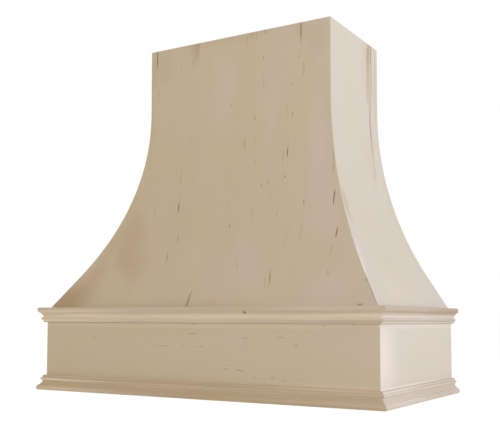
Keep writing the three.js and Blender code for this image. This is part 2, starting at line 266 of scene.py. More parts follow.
# name, azimuth from +X towards -Y and elevation of its direction from the aim, in degrees, then its distance
# and size in metres, watts and colour
LAMPS = [
    ("right", 7, 14, 3.0, 2.3, 50, (0.79, 0.97, 1.45)),
    ("front", 105, 30, 3.0, 2.2, 9, (1.05, 1.0, 0.50)),
]


def make_lamps():
    for name, azimuth, elevation, distance, size, watts, colour in LAMPS:
        lamp = bpy.data.objects.new(f"lamp_{name}", bpy.data.lights.new(name, "AREA"))
        bpy.context.scene.collection.objects.link(lamp)
        a, e = math.radians(azimuth), math.radians(elevation)
        away = Vector((math.cos(a) * math.cos(e), -math.sin(a) * math.cos(e), math.sin(e)))
        lamp.location = LAMP_AIM + away * distance
        lamp.rotation_euler = (-away).to_track_quat("-Z", "Y").to_euler()
        lamp.data.size = size
        lamp.data.energy = watts
        lamp.data.color = colour


# ---------------------------------------------------------------- wood and metal

MAPLE = (0.640, 0.530, 0.372, 1)
MAPLE_PALE = (0.665, 0.546, 0.430, 1)
# This lighter tone is the wood's own in some patches and painted light in others
MAPLE_LIGHT = (0.830, 0.690, 0.510, 1)
# This colour is only painted light, laid in the mouldings' hollows, along the band boards' edges by the
# mouldings and along the right skin's hip
MAPLE_PAINTED_LIGHT = (0.900, 0.790, 0.620, 1)
MAPLE_OLIVE = (0.642, 0.540, 0.352, 1)
MAPLE_WARM = (0.600, 0.425, 0.290, 1)
MAPLE_BROWN = (0.490, 0.350, 0.210, 1)
MAPLE_DARK = (0.400, 0.280, 0.160, 1)
MAPLE_RING = (0.520, 0.410, 0.290, 1)
MAPLE_MARK = (0.210, 0.118, 0.050, 1)
PLY_DARK = (0.390, 0.270, 0.165, 1)
PLY_LIGHT = (0.600, 0.465, 0.315, 1)
PINE = (0.690, 0.520, 0.310, 1)
PINE_RING = (0.500, 0.300, 0.130, 1)
ZINC = (0.620, 0.610, 0.580, 1)
ZINC_DULL = (0.420, 0.410, 0.390, 1)

PLAIN_TINT = (1.0, 1.0, 1.0)
# Each moulding's tone is multiplied by its factor here. The factor is partly the wood's own tone and partly
# painted shade, darkest on the bottom front and top right mouldings.
MOULDING_TONE_AND_SHADE = {
    "top_trim_front": (0.99, 0.98, 1.03),
    "bottom_trim_front": (0.94, 0.88, 0.83),
    "top_trim_right": (0.82, 0.79, 0.77),
    "bottom_trim_right": (0.95, 0.93, 0.91),
}
# Noises: cells a metre across, through and along the grain, roughness and, where it isn't 2, detail. The
# patches' rims have cells across and along only, and the zinc's lie on the screw's own axes.
PALE_BLOTCHES = ((7, 7, 2.8), 0.45)
OLIVE_BLOTCHES = ((15.6, 15.6, 5.2), 0.45)
COARSE_FIBRES = ((420, 420, 9), 0.6, 3.0)
FINE_FIBRES = ((2200, 2200, 60), 0.5)
VENEER_SWELL = ((9, 9, 1.1), 0.45)
PLY_SWELL = ((14, 14, 2.0), 0.5)
PLY_GRIT = ((900, 900, 900), 0.6)
MARK_RIMS = ((300, 300, 90), 0.6)
PATCH_RIMS = ((14, 6, 1), 0.5)
ZINC_PATCHES = ((600, 600, 600), 0.6, 4.0)
ZINC_SCUFFS = ((4000, 4000, 500), 0.6)
# Most of a noise lies in this span. A map is a span, and the least and most of its effect if not 0 and 1.
NOISE_SPAN = (0.3, 0.7)
PALE_MAP = (0.42, 0.66, 0.0, 0.5)
OLIVE_MAP = (0.48, 0.70, 0.0, 0.6)
MAPLE_FIBRE_MAP = (0.35, 0.65, 0.985, 1.015)
PLY_FIBRE_MAP = (*NOISE_SPAN, 0.90, 1.06)
PINE_FIBRE_MAP = (*NOISE_SPAN, 0.92, 1.05)
PLY_GRIT_MAP = (0.40, 0.75, 0.0, 0.35)
VENEER_FIGURE_MAP = (0.2, 1.0)
BOARD_FIGURE_MAP = (0.45, 1.0)
PLY_FIGURE_MAP = (0.0, 1.0)
PINE_FIGURE_MAP = (0.35, 1.0, 0.0, 0.6)
VENEER_ROUGHNESS_MAP = (*NOISE_SPAN, 0.56, 0.68)
BOARD_ROUGHNESS_MAP = (0.0, 1.0, 0.56, 0.66)
PLY_ROUGHNESS_MAP = (*NOISE_SPAN, 0.66, 0.80)
PINE_ROUGHNESS_MAP = (0.0, 1.0, 0.72, 0.62)
ZINC_TONE_MAP = (0.35, 0.65)
ZINC_ROUGHNESS_MAP = (*NOISE_SPAN, 0.28, 0.48)
# Short dashes: the cells' width and length, a dash's size in its cell, and the share of cells with one
VENEER_FLECKS = (13 * MM, 120 * MM, 0.07, 0.10)
BOARD_FLECKS = (16 * MM, 110 * MM, 0.06, 0.12)
MAPLE_PORES = (1.6 * MM, 14 * MM, 0.16, 0.5)
PLY_PORES = (2.2 * MM, 24 * MM, 0.16, 0.5)
# The parts of that size and of that share that are at full strength
FLECK_CORE = 0.3
FLECK_CHOICE = 0.4
# How strongly each thing shows
COARSE_FIBRE_SHARE = 0.3
RING_DEPTH = 0.05
MAPLE_PORE_DEPTH = 0.14
VENEER_FLECK_DEPTH = 0.30
BOARD_FLECK_DEPTH = 0.35
MARK_DEPTH = 0.85
PLY_FIGURE_DEPTH = 0.30
PLY_PORE_DEPTH = 0.30
WOOD_GLOSS = 0.30
MAPLE_BUMP = 0.10
FRAME_BUMP = 0.25
ZINC_BUMP = 0.2
WOOD_RELIEF = 0.2 * MM
ZINC_RELIEF = 0.05 * MM
# Radians that the figure's wave turns through over the whole range of the swell
VENEER_CONTOURS = 120.0
PLY_CONTOURS = 90.0
# Growth rings lie 2 pi / (20 x scale) metres apart
BOARD_RINGS = 60.0
MOULDING_RINGS = 75.0
PINE_RINGS = 85.0
# The stretch of the rings along the grain, how far they wander, and the scale of that
MAPLE_GROWTH = (0.10, 5.0, 0.25)
PINE_GROWTH = (0.06, 2.5, 0.3)
# The tree's heart from a piece of maple, its step from one piece to the next, and the heart from the pine
MAPLE_HEART = (0.03, 0.09)
HEART_STEP = 0.7
PINE_HEART = (0.012, 0.045, 0.2)
# How far apart two pieces of maple are cut
CUT_STEP = (0.37, 0.11, 1.7)
# Plywood edges: layers in a skin and a frame board, the blur between layers, and where the first layer ends
SKIN_LAYERS = 5
FRAME_LAYERS = 13
LAYER_BLUR = 0.25
FIRST_LAYER = (0.55, 0.60)
# How deep the placed marks go and how far their rims waver
MARK_REACH = 0.5 * MM
MARK_WAVER = 0.5 * MM
# The skins' mineral marks: place across and down the sheet, length, width, strength and, where it isn't 0,
# lean to the right on the way down. Millimetres. Across is measured from the middle of the front skin.
FRONT_MARKS = [
    (188, 20, 84, 4, 1),
    (-247, 18, 78, 6.5, 0.85),
    (88, 2, 24, 4, 0.8, 0.2),
    (-168, 60, 36, 2.6, 0.25),
    (35, 18, 52, 6, 0.2),
    (63, 10, 26, 3.5, 0.25),
    (83, 72, 15, 3.6, 0.65),
    (183, 85, 16, 3.2, 0.6),
    (195, 114, 54, 8, 0.26),
    (84, 138, 52, 3.2, 0.3, 0.05),
    (162, 152, 12, 10, 0.18),
    (-13, 180, 15, 3, 0.5),
    (-241, 118, 30, 6, 0.25),
    (151, 212, 60, 4, 0.12),
    (58, 223, 16, 3.8, 0.7, -0.1),
    (165, 227, 14, 3.8, 0.7),
    (-135, 258, 28, 3.6, 0.18, 0.05),
    (33, 288, 42, 10, 0.2, 0.1),
    (62, 284, 42, 3, 0.35, 0.05),
    (157, 320, 64, 3.4, 0.45, -0.02),
    (157, 323, 40, 4, 0.95),
    (145, 334, 46, 3, 0.4, 0.03),
    (67, 338, 22, 3, 0.4, 0.1),
    (-153, 365, 64, 5, 0.24, 0.04),
    (-146, 420, 50, 4.5, 0.14, 0.15),
    (-143, 448, 42, 4.6, 1, 0.12),
    (157, 387, 9, 5.5, 0.6, 0.4),
    (150, 393, 10, 4, 0.25),
    (112, 397, 18, 3.6, 0.55, 0.35),
    (94, 405, 20, 3.6, 0.5, 0.1),
    (122, 428, 42, 3.4, 0.25, 0.2),
    (-219, 450, 22, 7, 0.28, 0.1),
    (8, 453, 30, 6, 0.18, 0.2),
    (218, 461, 24, 4.2, 0.55, 0.2),
    (294, 453, 56, 4.2, 1, 0.05),
    (281, 352, 54, 4, 0.35, 0.12),
    (283, 377, 28, 3.4, 0.45, 0.1),
    (82, 482, 46, 5, 0.22),
    (150, 484, 50, 4.4, 0.22, -0.1),
    (-48, 492, 24, 4.5, 0.15, 0.2),
    (25, 512, 19, 4.2, 0.65, 0.3),
    (-121, 540, 29, 4.6, 0.55, 0.1),
    (-136, 594, 42, 3.8, 0.75, 0.15),
    (316, 547, 38, 4.8, 0.95),
    (224, 540, 70, 4.6, 0.18, 0.05),
    (78, 625, 24, 3.8, 0.35, 0.3),
    (176, 662, 62, 3.6, 0.8, 0.22),
    (168, 678, 42, 3.2, 0.4, 0.2),
    (313, 592, 46, 8, 0.16),
    (318, 656, 26, 6, 0.28, 0.3),
    (-24, 732, 90, 10, 0.55, 0.04),
    (411, 676, 14, 6, 0.45, 0.3),
    (431, 708, 90, 4, 0.5, 0.54),
    (411, 742, 12, 16, 0.75),
]
# Across is measured from the wall on the side skins
RIGHT_MARKS = [
    (-64, 10, 180, 9, 0.55),
    (-44, 20, 250, 6.5, 0.8),
    (-58, 236, 250, 10, 0.45, -0.07),
    (-17, 90, 340, 8, 0.3),
    (-72, 352, 60, 6, 0.25, -0.2),
    (-370, 520, 110, 4, 0.2, -0.2),
]
LEFT_MARKS = [
    (-120, 210, 36, 3.6, 0.8, 0.05),
    (-210, 470, 44, 3.6, 0.7, -0.06),
    (-330, 600, 34, 3.4, 0.6, 0.1),
]
# Broad soft patches of another tone, in the same columns
FRONT_PATCHES = [
    (MAPLE_PALE, [
        (-32, 140, 330, 120, 1, -0.1),
        (100, 225, 260, 90, 0.9, -0.1),
        (108, 345, 190, 70, 0.6),
        (240, 310, 420, 90, 0.9, 0.08),
        (282, 485, 300, 100, 0.9, 0.35),
        (105, 612, 300, 75, 1, 0.45),
        (330, 705, 180, 180, 0.9),
        (-55, 610, 160, 100, 0.6),
        (-90, 370, 220, 80, 0.4),
        (240, 60, 240, 70, 0.4),
    ]),
    (MAPLE_LIGHT, [(300, 748, 60, 700, 0.3)]),
    (MAPLE_OLIVE, [
        (45, 160, 300, 55, 0.6),
        (178, 250, 420, 70, 0.5),
        (-45, 292, 110, 100, 0.4),
        (35, 405, 240, 75, 0.5),
        (185, 560, 300, 80, 0.5, 0.15),
        (-268, 440, 90, 60, 0.8),
    ]),
    (MAPLE_WARM, [
        (-264, 530, 260, 115, 0.75, 0.25),
        (-330, 570, 260, 110, 0.35, -0.2),
        (-240, 612, 200, 130, 0.75, 0.3),
        (-350, 650, 200, 120, 0.75, -0.3),
        (-262, 110, 440, 34, 0.55),
        (182, 10, 100, 60, 0.6),
        (-20, 0, 50, 560, 0.4),
        # Painted shade: the warm strip along the sheet's bottom edge, above the moulding
        (-60, 748, 60, 760, 0.3),
        (-205, 600, 130, 60, 0.4, 0.3),
        (40, 742, 70, 90, 0.5),
        (178, 548, 110, 36, 0.3),
    ]),
    (MAPLE_BROWN, [
        (-405, 725, 180, 240, 1),
        (-272, 590, 120, 60, 0.3, 0.2),
        (-123, 8, 130, 36, 0.8, 0.05),
        (46, 0, 60, 50, 0.3),
        (-222, 46, 160, 110, 0.22),
        (232, 40, 160, 110, 0.22),
    ]),
]
RIGHT_PATCHES = [
    (MAPLE_PALE, [(-270, 160, 320, 70, 0.5), (-440, 640, 200, 60, 0.5, -0.5)]),
    # Painted highlight: the narrow light and bright strips that lean along the hip stand for light on its
    # rounded edge
    (MAPLE_LIGHT, [(-405, 610, 170, 40, 0.2, -0.54), (-290, 700, 200, 420, 0.14)]),
    (MAPLE_PAINTED_LIGHT, [(-453, 678, 280, 14, 0.75, -0.54)]),
    (MAPLE_OLIVE, [(-200, 660, 240, 240, 0.5), (-210, 100, 90, 100, 0.6)]),
    (MAPLE_WARM, [(-92, 60, 240, 30, 0.3), (-95, 330, 160, 60, 0.3), (-70, 340, 200, 34, 0.6, -0.1)]),
    (MAPLE_BROWN, [
        (-55, 50, 460, 58, 0.78),
        (-60, 215, 260, 34, 0.55, -0.06),
        (-341, 470, 200, 30, 0.6, -0.14),
    ]),
]
# The mouldings' patches: height above the wide edge, place along x or y, length, width and strength. The
# darker ones run along the noses. The light and bright strips are painted light: they lift the shade of the
# coves and creases and brighten the beads and fillets.
TRIM_TONES_AND_PAINTED_LIGHT = {
    "top_trim_front": [
        (MAPLE_BROWN, [(8, 290, 620, 22, 0.2), (14, 300, 560, 8, 0.25)]),
        (MAPLE_LIGHT, [
            (20, -330, 560, 13, 1),
            (20, 60, 760, 13, 0.75),
            (20, 420, 560, 13, 1),
            (10, -380, 620, 16, 0.75),
            (6, 330, 420, 14, 0.35),
        ]),
        (MAPLE_PAINTED_LIGHT, [(24.5, 0, 3600, 13, 1), (33, -420, 1000, 9, 0.9), (33, 0, 900, 9, 0.55)]),
    ],
    "top_trim_right": [
        (MAPLE_BROWN, [(8, -120, 600, 22, 0.5), (8, 200, 760, 28, 1)]),
        (MAPLE_DARK, [(9, 220, 640, 22, 0.7), (12, -120, 520, 8, 0.3)]),
        (MAPLE_LIGHT, [(22.5, -60, 1700, 19, 0.6), (34, -100, 1200, 10, 0.35)]),
    ],
    "bottom_trim_front": [
        (MAPLE_BROWN, [(9, 20, 700, 26, 0.35)]),
        (MAPLE_DARK, [(4, 320, 600, 9, 0.45), (4, 0, 400, 8, 0.3)]),
        (MAPLE_LIGHT, [
            (6.5, -400, 560, 14, 0.5),
            (24.5, 60, 1900, 10, 0.55),
            (35, 340, 560, 9, 0.45),
            (35, -340, 560, 9, 0.35),
        ]),
        (MAPLE_PAINTED_LIGHT, [(27.5, -420, 520, 9, 1)]),
    ],
    "bottom_trim_right": [
        (MAPLE_BROWN, [(6, 150, 500, 12, 0.4), (20, 120, 700, 12, 0.15)]),
        (MAPLE_LIGHT, [(12, -160, 500, 10, 0.35), (26, -60, 1200, 9, 0.35)]),
        (MAPLE_PAINTED_LIGHT, [(34, -180, 520, 10, 0.45)]),
    ],
}
# The boards' lighter parts: height, place across as on the skins, length, width and strength. The strips at
# heights 175 and 38, along the boards' edges next to the mouldings, are painted light that lifts the shade
# there.
BAND_PALE_AND_PAINTED_LIGHT = {
    "band_front_board": [
        (MAPLE_LIGHT, [(175, 0, 3600, 34, 0.9), (38, 0, 3600, 16, 0.65), (38, 400, 900, 30, 0.75)]),
    ],
    "band_right_board": [
        (MAPLE_LIGHT, [(105, -490, 260, 360, 0.68), (175, -200, 2600, 34, 0.6)]),
        (MAPLE_PAINTED_LIGHT, [(175, -200, 2600, 14, 0.9), (38, -420, 1400, 14, 0.95)]),
    ],
}
# How far the rims of a skin's and of a moulding's patches wander
SKIN_WANDER = 14 * MM
TRIM_WANDER = 0.6 * MM

# The front band board's faint flecks, in the same columns, with their rise to the right where it isn't 0
BAND_MARKS = [
    (165, -332, 28, 2.6, 0.14),
    (136, -298, 22, 2.8, 0.34),
    (56, -207, 14, 2.4, 0.28),
    (172, 2, 12, 2.6, 0.45),
    (150, 0, 40, 2.4, 0.5),
    (132, -125, 14, 2.6, 0.28),
    (120, -100, 32, 2.4, 0.3),
    (120, -78, 30, 2.6, 0.45, -0.03),
    (121, -28, 8, 2.8, 0.5),
    (121, 9, 14, 2.4, 0.28),
    (121, 24, 18, 2.6, 0.42),
    (142, 139, 24, 2.4, 0.48, 0.12),
    (124, 140, 14, 2.6, 0.26),
    (85, -87, 12, 2.4, 0.3),
    (79, 101, 14, 2.4, 0.26),
    (71, 91, 25, 2.4, 0.4),
    (69, 126, 24, 2.8, 0.58, -0.12),
    (42, -6, 14, 2.4, 0.3),
    (144, 229, 22, 2.6, 0.5, 0.08),
    (127, 267, 11, 3.2, 0.6),
    (170, 333, 16, 2.6, 0.34),
    (173, 401, 10, 2.6, 0.4),
    (88, 391, 12, 2.6, 0.28),
    (56, 209, 16, 2.8, 0.45),
    (54, 163, 14, 2.6, 0.36),
    (49, 236, 8, 2.8, 0.4),
]
# Painted shade: a thin dark line on the band boards just under the top moulding, where the gap under it falls
# in shade, along the front and along a side
FRONT_JOINT_SHADE = (174.6, 0, 3600, 2.4, 0.8)
SIDE_JOINT_SHADE = (174.6, 0, 3600, 1.8, 0.35)

# A pin knot on the front's top moulding
TOP_TRIM_MARKS = [(14.1, 146, 9, 8.5, 0.9)]

# How sharply a mark and a patch end: where, from their middle (0) to their rim (1), they're at full strength
MARK_CORE = 0.40
PATCH_CORE = 0.0


def mark_group():
    """A node group that says how far inside one lens-shaped mark a point of the sheet lies, from 0 to 1."""
    name = "wood_mark"
    if name in bpy.data.node_groups:
        return bpy.data.node_groups[name]
    group = bpy.data.node_groups.new(name, "ShaderNodeTree")
    for socket in (
        "Across", "Along", "Middle across", "Middle along", "Half width", "Half length", "Lean", "Core"
    ):
        group.interface.new_socket(socket, in_out="INPUT", socket_type="NodeSocketFloat")
    group.interface.new_socket("Mark", in_out="OUTPUT", socket_type="NodeSocketFloat")
    nodes = Nodes(group)
    given = nodes.node("NodeGroupInput").outputs
    along = nodes.math("SUBTRACT", given["Along"], given["Middle along"])
    across = nodes.math("SUBTRACT", given["Across"], given["Middle across"])
    across = nodes.math("SUBTRACT", across, nodes.times(along, given["Lean"]))
    share_across = nodes.math("DIVIDE", across, given["Half width"])
    share_along = nodes.math("DIVIDE", along, given["Half length"])
    distance = nodes.length(nodes.join(share_across, share_along))
    nodes.node("NodeGroupOutput", {0: nodes.mapped(distance, 1.0, given["Core"])})
    return group


def marks_mask(nodes, across, along, marks, core):
    """The strongest of the marks or patches at a point of the sheet, as a socket."""
    total = None
    for middle, down, length, width, strength, *lean in marks:
        inputs = {"Across": across, "Along": along, "Lean": lean[0] if lean else 0.0, "Core": core}
        inputs |= {"Middle across": middle * MM, "Middle along": down * MM}
        inputs |= {"Half width": width / 2 * MM, "Half length": length / 2 * MM}
        inside = nodes.add("ShaderNodeGroup", inputs, node_tree=mark_group())
        mark = nodes.times(inside, strength)
        total = mark if total is None else nodes.math("MAXIMUM", total, mark)
    return total


def wood_parts(nodes):
    """The wood attribute, and its across, through and along parts."""
    wood = nodes.add("ShaderNodeAttribute", output="Vector", attribute_name="wood")
    return wood, *nodes.node("ShaderNodeSeparateXYZ", {0: wood}).outputs


def shifted(nodes, wood, seed):
    """The same wood cut from another place, so that no two pieces share their figure."""
    return nodes.moved(wood, tuple(seed * step for step in CUT_STEP))


def flecks_mask(nodes, wood, cell_width, cell_length, size, share):
    """Short dashes along the grain, one in some of the cells of a stretched Voronoi pattern."""
    stretch = (1 / cell_width, 1 / cell_width, 1 / cell_length)
    inputs = {"Vector": nodes.scaled(wood, stretch), "Scale": 1.0}
    cells = nodes.node("ShaderNodeTexVoronoi", inputs).outputs
    kept = nodes.add("ShaderNodeSeparateColor", {0: cells["Color"]})
    chosen = nodes.mapped(kept, 1 - share, 1 - share * FLECK_CHOICE)
    inside = nodes.mapped(cells["Distance"], size, size * FLECK_CORE)
    return nodes.times(inside, chosen)


def fibres(nodes, wood):
    """Fine streaks along the grain, from 0 to 1."""
    coarse = nodes.times(nodes.noise(wood, *COARSE_FIBRES), COARSE_FIBRE_SHARE)
    fine = nodes.times(nodes.noise(wood, *FINE_FIBRES), 1 - COARSE_FIBRE_SHARE)
    return nodes.math("ADD", coarse, fine)


def growth_rings(nodes, wood, heart, scale, stretch, wander, wander_scale):
    """Rings round the tree's heart, from 0 to 1."""
    place = nodes.scaled(nodes.moved(wood, heart), (1, 1, stretch))
    inputs = {"Vector": place, "Scale": scale, "Distortion": wander, "Detail Scale": wander_scale}
    inputs |= {"Detail": 2.0, "Detail Roughness": 0.5}
    return nodes.add("ShaderNodeTexWave", inputs, output="Fac", wave_type="RINGS", rings_direction="Z")


def contour_lines(nodes, swell, radians):
    """A wave, from -1 to 1, that follows the swell's contours."""
    return nodes.math("SINE", nodes.times(swell, radians))


def maple_tone(nodes, wood, figure, tone_and_shade):
    """Bare maple: soft blotches, growth rings where figure is 1, and fibres."""
    pale = nodes.mapped(nodes.noise(wood, *PALE_BLOTCHES), *PALE_MAP)
    olive = nodes.mapped(nodes.noise(wood, *OLIVE_BLOTCHES), *OLIVE_MAP)
    tone = nodes.mix(pale, MAPLE, MAPLE_PALE)
    tone = nodes.mix(olive, tone, MAPLE_OLIVE)
    tone = nodes.mix(nodes.times(figure, RING_DEPTH), tone, MAPLE_RING)
    tone = nodes.shaded(tone, nodes.mapped(fibres(nodes, wood), *MAPLE_FIBRE_MAP))
    # Times the piece's factor, which on some mouldings is painted shade as well as their own tone
    return nodes.mix(1.0, tone, (*tone_and_shade, 1), blend="MULTIPLY")


def finish_surface(nodes, inputs, height, bump, relief):
    """Ends the material in a principled shader with these inputs, over bumps of this height."""
    bumped = nodes.add("ShaderNodeBump", {"Strength": bump, "Distance": relief, "Height": height})
    shader = nodes.add("ShaderNodeBsdfPrincipled", inputs | {"Normal": bumped})
    nodes.node("ShaderNodeOutputMaterial", {0: shader})


def finish_wood(nodes, colour, height, roughness, bump):
    inputs = {"Base Color": colour, "Roughness": roughness, "Specular IOR Level": WOOD_GLOSS}
    finish_surface(nodes, inputs, height, bump, WOOD_RELIEF)


def ply_edge(nodes, tone, wood, through, thickness, layers):
    """Lays the dark and light layers of plywood over the tone wherever a cut edge shows them."""
    layer = thickness / layers
    wave = nodes.math("SINE", nodes.times(through, math.pi / layer))
    dark = nodes.mapped(wave, -LAYER_BLUR, LAYER_BLUR, 1.0, 0.0)
    grit = nodes.mapped(nodes.noise(wood, *PLY_GRIT), *PLY_GRIT_MAP)
    layered = nodes.mix(grit, nodes.mix(dark, PLY_LIGHT, PLY_DARK), PLY_DARK)
    start, end = (layer * share for share in FIRST_LAYER)
    past_first = nodes.mapped(through, start, end)
    before_last = nodes.mapped(through, thickness - start, thickness - end)
    return nodes.mix(nodes.times(past_first, before_last), tone, layered)


def with_patches(nodes, tone, across, along, patches, wander):
    """Lays each tone's soft patches over the wood, with rims that wander by the given length."""
    uneven = nodes.noise(nodes.join(across, along), *PATCH_RIMS)
    moved = nodes.math("ADD", across, nodes.mapped(uneven, *NOISE_SPAN, -wander, wander))
    for colour, places in patches:
        mask = marks_mask(nodes, moved, along, places, PATCH_CORE)
        tone = nodes.mix(mask, tone, colour)
    return tone


def veneer_material(name, seed, marks, patches):
    """Rotary-cut maple veneer on bent plywood."""
    material, nodes = new_material(name)
    wood, across, through, along = wood_parts(nodes)
    cut = shifted(nodes, wood, seed)
    swell = nodes.noise(cut, *VENEER_SWELL)
    figure = nodes.mapped(contour_lines(nodes, swell, VENEER_CONTOURS), *VENEER_FIGURE_MAP)
    tone = maple_tone(nodes, cut, figure, PLAIN_TINT)
    tone = with_patches(nodes, tone, across, along, patches, SKIN_WANDER)
    ragged = nodes.mapped(nodes.noise(cut, *MARK_RIMS), *NOISE_SPAN, -MARK_WAVER, MARK_WAVER)
    placed = marks_mask(nodes, nodes.math("ADD", across, ragged), along, marks, MARK_CORE)
    placed = nodes.times(placed, nodes.math("LESS_THAN", through, MARK_REACH))
    small = nodes.times(flecks_mask(nodes, cut, *VENEER_FLECKS), VENEER_FLECK_DEPTH)
    dark = nodes.math("MAXIMUM", placed, small)
    pores = flecks_mask(nodes, cut, *MAPLE_PORES)
    tone = nodes.mix(nodes.times(pores, MAPLE_PORE_DEPTH), tone, MAPLE_RING)
    tone = nodes.mix(nodes.times(dark, MARK_DEPTH), tone, MAPLE_MARK)
    tone = ply_edge(nodes, tone, wood, through, SKIN, SKIN_LAYERS)
    height = nodes.math("SUBTRACT", fibres(nodes, cut), nodes.math("ADD", pores, dark))
    finish_wood(nodes, tone, height, nodes.mapped(swell, *VENEER_ROUGHNESS_MAP), MAPLE_BUMP)
    return material


def board_material(name, seed, ring_scale, tone_and_shade, marks, patches):
    """Solid maple, whose growth rings run through the board and show as arcs on its ends."""
    material, nodes = new_material(name)
    wood, across, _, along = wood_parts(nodes)
    cut = shifted(nodes, wood, seed)
    heart = (*MAPLE_HEART, seed * HEART_STEP)
    rings = growth_rings(nodes, wood, heart, ring_scale, *MAPLE_GROWTH)
    tone = maple_tone(nodes, cut, nodes.mapped(rings, *BOARD_FIGURE_MAP), tone_and_shade)
    tone = with_patches(nodes, tone, across, along, patches, TRIM_WANDER)
    pores = flecks_mask(nodes, cut, *MAPLE_PORES)
    tone = nodes.mix(nodes.times(pores, MAPLE_PORE_DEPTH), tone, MAPLE_RING)
    small = flecks_mask(nodes, cut, *BOARD_FLECKS)
    dark = nodes.times(small, BOARD_FLECK_DEPTH)
    if marks:
        dark = nodes.math("MAXIMUM", dark, marks_mask(nodes, across, along, marks, MARK_CORE))
    tone = nodes.mix(dark, tone, MAPLE_MARK)
    height = nodes.math("SUBTRACT", fibres(nodes, cut), nodes.math("ADD", pores, small))
    finish_wood(nodes, tone, height, nodes.mapped(rings, *BOARD_ROUGHNESS_MAP), MAPLE_BUMP)
    return material


def plywood_material():
    material, nodes = new_material("plywood")
    wood, _, through, _ = wood_parts(nodes)
    swell = nodes.noise(wood, *PLY_SWELL)
    figure = nodes.mapped(contour_lines(nodes, swell, PLY_CONTOURS), *PLY_FIGURE_MAP)
    tone = nodes.mix(nodes.times(figure, PLY_FIGURE_DEPTH), PLY_LIGHT, PLY_DARK)
    tone = nodes.shaded(tone, nodes.mapped(fibres(nodes, wood), *PLY_FIBRE_MAP))
    pores = flecks_mask(nodes, wood, *PLY_PORES)
    tone = nodes.mix(nodes.times(pores, PLY_PORE_DEPTH), tone, PLY_DARK)
    tone = ply_edge(nodes, tone, wood, through, PLY, FRAME_LAYERS)
    height = nodes.math("SUBTRACT", fibres(nodes, wood), pores)
    finish_wood(nodes, tone, height, nodes.mapped(swell, *PLY_ROUGHNESS_MAP), FRAME_BUMP)
    return material


def pine_material():
    material, nodes = new_material("softwood")
    wood = wood_parts(nodes)[0]
    rings = growth_rings(nodes, wood, PINE_HEART, PINE_RINGS, *PINE_GROWTH)
    tone = nodes.mix(nodes.mapped(rings, *PINE_FIGURE_MAP), PINE, PINE_RING)
    tone = nodes.shaded(tone, nodes.mapped(fibres(nodes, wood), *PINE_FIBRE_MAP))
    roughness = nodes.mapped(rings, *PINE_ROUGHNESS_MAP)
    finish_wood(nodes, tone, fibres(nodes, wood), roughness, FRAME_BUMP)
    return material


def zinc_material():
    """Bright zinc plate, dulled in patches and finely scuffed."""
    material, nodes = new_material("zinc_steel")
    place = nodes.add("ShaderNodeTexCoord", output="Object")
    patches = nodes.noise(place, *ZINC_PATCHES)
    colour = nodes.mix(nodes.mapped(patches, *ZINC_TONE_MAP), ZINC, ZINC_DULL)
    roughness = nodes.mapped(patches, *ZINC_ROUGHNESS_MAP)
    inputs = {"Base Color": colour, "Metallic": 1.0, "Roughness": roughness}
    finish_surface(nodes, inputs, nodes.noise(place, *ZINC_SCUFFS), ZINC_BUMP, ZINC_RELIEF)
    return material


# ---------------------------------------------------------------- meshes

SMOOTH_ANGLE = math.radians(28)


def side_faces(levels, count, first=0):
    """The faces between rings of `count` points each, which start at the point `first`."""
    faces = []
    for level in range(levels - 1):
        for i in range(count):
            a = first + level * count + i
            b = first + level * count + (i + 1) % count
            faces.append((a, b, b + count, a + count))
    return faces


def loft(name, rings, woods):
    """A closed solid through rings of points, each point with its place in the wood."""
    count = len(rings[0])
    points = [point for ring in rings for point in ring]
    last = len(points) - count
    faces = [tuple(range(count)), tuple(range(last, last + count))]
    faces += side_faces(len(rings), count)
    mesh = bpy.data.meshes.new(name)
    mesh.from_pydata(points, [], faces)
    set_wood(mesh, [wood for ring in woods for wood in ring])
    return add_object(name, mesh)


def set_wood(mesh, places):
    attribute = mesh.attributes.new("wood", "FLOAT_VECTOR", "POINT")
    attribute.data.foreach_set("vector", np.array(places, np.float32).ravel())


def add_object(name, mesh):
    """Turns the faces outward, shades the mesh smooth up to its edges, and adds it to the scene."""
    work = bmesh.new()
    work.from_mesh(mesh)
    bmesh.ops.recalc_face_normals(work, faces=work.faces)
    work.to_mesh(mesh)
    work.free()
    mesh.shade_smooth()
    mesh.set_sharp_from_angle(angle=SMOOTH_ANGLE)
    piece = bpy.data.objects.new(name, mesh)
    bpy.context.scene.collection.objects.link(piece)
    return piece


def stand_for(piece, node, material):
    """The piece takes a CAD node's place and its finish here: the node is hidden and the piece joins the
    body.
    """
    piece.data.materials.clear()
    piece.data.materials.append(material)
    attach(piece, BODY)
    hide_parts(node)


def corner_arc(radius):
    """Half of a rounded corner, from the face to the mitre: (distance back along the face, behind it)."""
    angles = [math.pi / 4 * step / CORNER_STEPS for step in range(CORNER_STEPS + 1)]
    return [(radius * (1 - math.sin(a)), radius * (1 - math.cos(a))) for a in angles]


# ---------------------------------------------------------------- flared skins and band boards

def front_ring(face_x, face_y, z, inset, thickness, corner):
    """The front sheet or board cut level at z: (x, y, depth behind the face) points."""
    x = face_x(z, inset) - SEAM
    y = face_y(z, inset)
    half = [(x - back, y + behind, inset) for back, behind in corner_arc(corner)]
    depth = thickness - inset
    half.append((face_x(z, depth) - SEAM, face_y(z, depth), depth))
    return [(-x, y, depth) for x, y, depth in reversed(half)] + half


def right_ring(face_x, face_y, z, inset, thickness, corner, ease):
    """The right-hand sheet or board cut level at z, with its rear edge at the wall."""
    x = face_x(z, inset)
    y = face_y(z, inset) + SEAM
    depth = thickness - inset
    inner_x = face_x(z, depth)
    ring = [(inner_x, face_y(z, depth) + SEAM, depth)]
    ring += [(x - behind, y + back, inset) for back, behind in reversed(corner_arc(corner))]
    ring += [(x, WALL_Y - ease, inset), (x - ease, WALL_Y, inset + ease)]
    ring += [(inner_x + ease, WALL_Y, depth - ease), (inner_x, WALL_Y - ease, depth)]
    return ring


